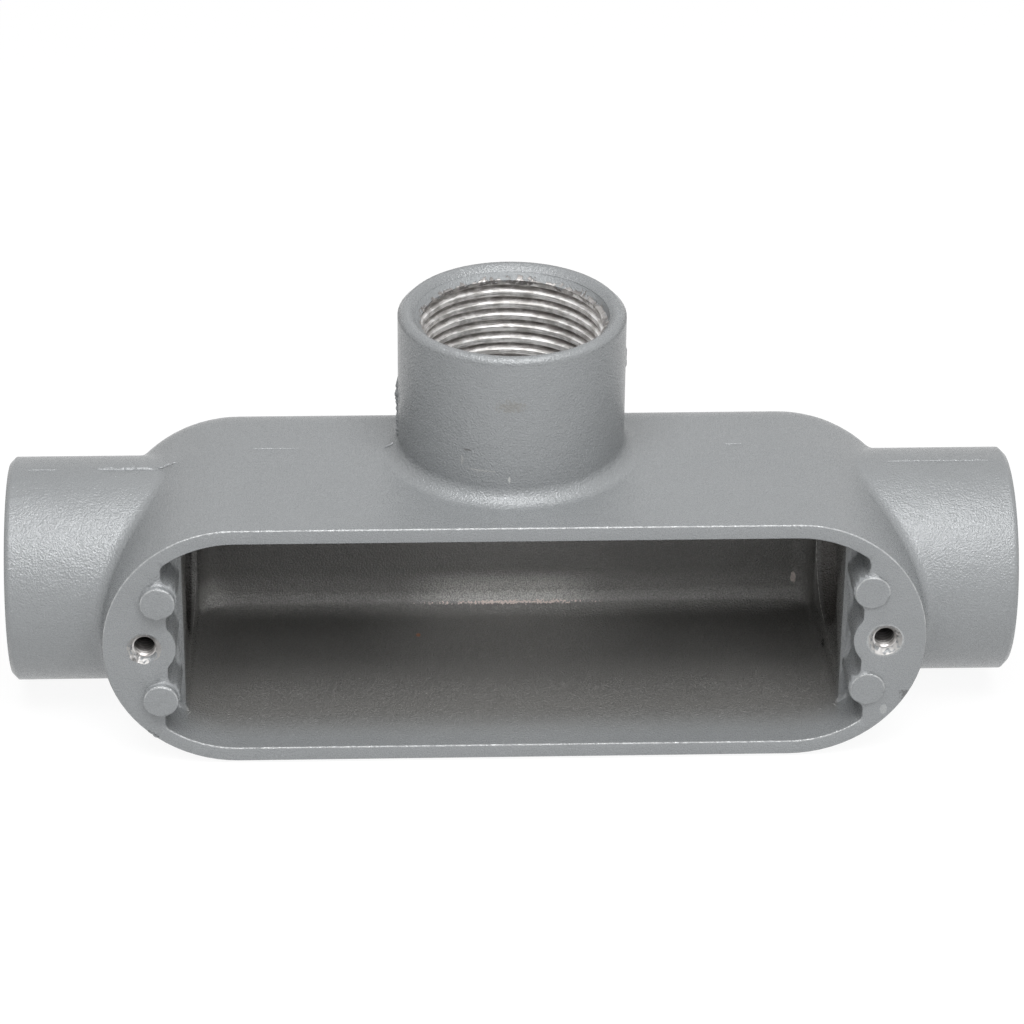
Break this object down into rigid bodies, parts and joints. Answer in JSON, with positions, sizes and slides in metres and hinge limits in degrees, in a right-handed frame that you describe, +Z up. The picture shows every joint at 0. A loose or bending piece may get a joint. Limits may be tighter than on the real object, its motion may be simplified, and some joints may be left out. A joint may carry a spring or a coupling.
{
  "type": "conduit body",
  "caption": "Cast conduit body with two in-line threaded hubs, a threaded branch hub square to them and an open oval wiring chamber with scalloped ends for the cover screws.",
  "frame": {"origin": "where the axes of the three hubs cross, in the middle of the wiring chamber", "axes": "+X along the straight run, +Z up the branch hub, -Y out of the cover opening; the part lies on the flat side opposite the branch hub"},
  "size_m": [0.174, 0.0496, 0.0729],
  "materials": {
    "painted_casting": "satin grey paint with a fine metallic grain over cast aluminium; the tapped bores are bare metal"
  },
  "bodies": {
    "root": {"conduit_body": "painted_casting"}
  },
  "joints": []
}
